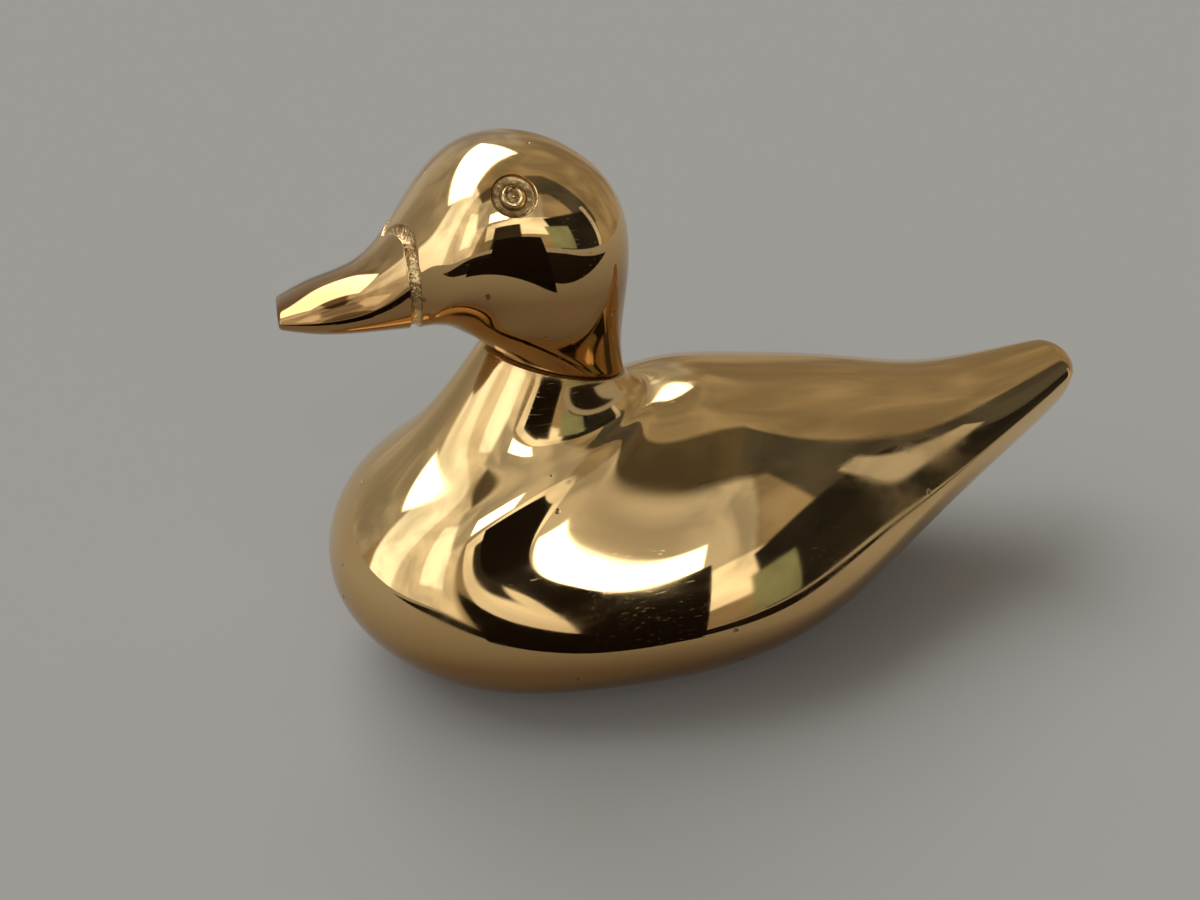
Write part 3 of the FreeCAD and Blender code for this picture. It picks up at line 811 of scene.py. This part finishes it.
# the soft panels and dark flags of the studio: name, azimuth and elevation of the middle in degrees,
# half width and half height as tangents, soft edge, brightness and tint
cool, warm, plain, olive = (0.95, 1.0, 1.06), (1.0, 0.84, 0.62), (1.0, 0.97, 0.92), (0.85, 1.0, 0.72)
studio = {
    "room": (0.29, 0.245, 0.18),
    "ceiling": (0.31, 0.27, 0.21), "ceilingEdge": (0.45, 0.6),
    "panels": [
        ("left flat", -150, 22, 0.90, 0.62, 0.12, 0.34, plain),
        ("lit flat", -58, 22, 0.62, 0.72, 0.10, 0.82, plain),
        ("tall strip", -88, 32, 0.20, 0.62, 0.06, 1.25, cool),
        ("side strip", -42, 28, 0.16, 0.28, 0.04, 1.3, cool),
        ("top flag", 12, 69, 0.50, 0.20, 0.05, 0.09, warm),
        ("front flat", -2, 46, 0.46, 0.24, 0.08, 0.50, plain),
        ("front strip", 8, 21, 0.40, 0.14, 0.03, 1.1, plain),
        ("small softbox", -5, 37, 0.17, 0.08, 0.02, 3.4, cool),
        ("narrow flag", 1, 10, 0.15, 0.24, 0.02, 0.03, warm),
        ("tall flag", 66, 40, 0.15, 0.40, 0.04, 0.07, plain),
        ("wide flag", 50, 11, 0.38, 0.31, 0.03, 0.02, plain),
        ("thin strip", 69, 14, 0.03, 0.30, 0.02, 0.50, plain),
        ("olive card", 33, 10, 0.13, 0.15, 0.03, 0.26, olive),
    ],
    "cloudScale": 2.6, "unevenness": 0.55,
    "key": ("key softbox", -144, 57, 0.54, 0.27, 0.06, 4.4, cool),
}


def aim(azimuth, elevation):
    # azimuth 0 is towards -Y, positive towards +X
    a, e = math.radians(azimuth), math.radians(elevation)
    return Vector((math.sin(a) * math.cos(e), -math.cos(a) * math.cos(e), math.sin(e)))


def dotWith(tree, vector, direction):
    node = addNode(tree, "ShaderNodeVectorMath", operation="DOT_PRODUCT")
    tree.links.new(vector, node.inputs[0])
    node.inputs[1].default_value = direction
    return node.outputs["Value"]


def hangPanel(tree, direction, colour, panel):
    # lays one soft-edged rectangle of light or dark over what lies behind it
    _, azimuth, elevation, wide, high, edge, bright, tint = panel
    facing = aim(azimuth, elevation)
    across = Vector((0, 0, 1)).cross(facing).normalized()
    upward = facing.cross(across)
    straight = dotWith(tree, direction, facing)
    ahead = mathNode(tree, "MAXIMUM", straight, 0.001)
    x = mathNode(tree, "ABSOLUTE", mathNode(tree, "DIVIDE", dotWith(tree, direction, across), ahead))
    y = mathNode(tree, "ABSOLUTE", mathNode(tree, "DIVIDE", dotWith(tree, direction, upward), ahead))
    inside = mathNode(tree, "MULTIPLY", rangeNode(tree, x, wide + edge, wide), rangeNode(tree, y, high + edge, high))
    inside = mathNode(tree, "MULTIPLY", inside, mathNode(tree, "GREATER_THAN", straight, 0.05))
    return mixColour(tree, inside, colour, tuple(bright * part for part in tint))


def makeStudio(look):
    world = bpy.data.worlds.new("studio")
    world.use_nodes = True
    scene.world = world
    tree = world.node_tree
    tree.nodes.clear()
    direction = addNode(tree, "ShaderNodeTexCoord").outputs["Generated"]
    split = addNode(tree, "ShaderNodeSeparateXYZ")
    tree.links.new(direction, split.inputs[0])
    high = rangeNode(tree, split.outputs[2], *look["ceilingEdge"])
    colour = mixColour(tree, high, look["room"], look["ceiling"])
    cloudy = noiseNode(tree, direction, look["cloudScale"], 3, 0.5, 0.5)
    for panel in look["panels"]:
        colour = hangPanel(tree, direction, colour, panel)
    shade = mathNode(tree, "MULTIPLY_ADD", rangeNode(tree, cloudy, 0.32, 0.68), look["unevenness"],
                     1 - look["unevenness"] / 2)
    scaled = addNode(tree, "ShaderNodeVectorMath", operation="SCALE")
    tree.links.new(colour, scaled.inputs[0])
    tree.links.new(shade, scaled.inputs["Scale"])
    colour = hangPanel(tree, direction, scaled.outputs[0], look["key"])
    background = addNode(tree, "ShaderNodeBackground")
    background.inputs["Strength"].default_value = 1.0
    tree.links.new(colour, background.inputs["Color"])
    tree.links.new(background.outputs[0], addNode(tree, "ShaderNodeOutputWorld").inputs[0])


makeStudio(studio)

view = {"place": (-0.0786, -0.1440, 0.1260), "ahead": (0.28929, 0.81329, -0.50484),
        "right": (0.94217, -0.33513, 0.0), "roll": 0.02815, "lens": 27.0}


def makeCamera(look):
    ahead, right = Vector(look["ahead"]).normalized(), Vector(look["right"]).normalized()
    upward = right.cross(ahead)
    turn = look["roll"]
    sideways = right * math.cos(turn) + upward * math.sin(turn)
    upward = upward * math.cos(turn) - right * math.sin(turn)
    data = bpy.data.cameras.new("camera")
    data.lens, data.sensor_width = look["lens"], 36.0
    data.clip_start, data.clip_end = 0.005, 100.0
    camera = bpy.data.objects.new("camera", data)
    scene.collection.objects.link(camera)
    basis = Matrix((sideways, upward, -ahead)).transposed().to_4x4()
    camera.matrix_world = Matrix.Translation(Vector(look["place"])) @ basis
    scene.camera = camera


makeCamera(view)
scene.view_settings.view_transform = "Standard"
print("studio and camera set")
